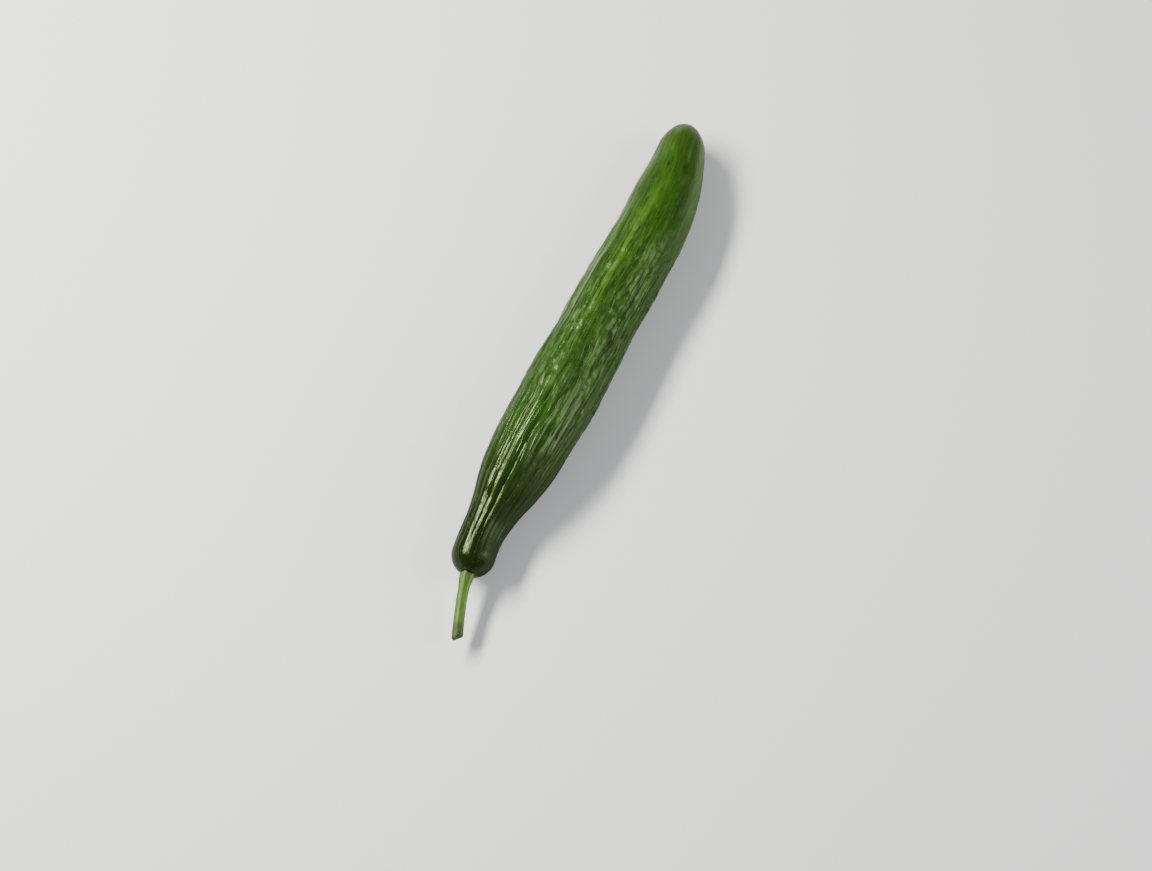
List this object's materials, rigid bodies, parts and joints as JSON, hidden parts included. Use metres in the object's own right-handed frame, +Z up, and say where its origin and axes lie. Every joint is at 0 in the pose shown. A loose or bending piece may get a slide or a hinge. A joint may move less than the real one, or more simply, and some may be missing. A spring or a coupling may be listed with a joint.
{
  "type": "cucumber",
  "caption": "Long ribbed green cucumber with a narrow neck, a slight bend and a short cut stem, lying on its belly.",
  "frame": {"origin": "on the table plane, under the middle of the cucumber's box", "axes": "+Z up from the table, +X along the cucumber from its stem to its blossom end, +Y to the left of that"},
  "size_m": [0.3404, 0.0512, 0.0435],
  "materials": {
    "skin": "waxy satin green skin, dark at the neck and light at the blossom end",
    "stalk": "matt light green stalk with fine hairs"
  },
  "bodies": {
    "root": {"fruit": "skin", "stem": "stalk"}
  },
  "joints": []
}
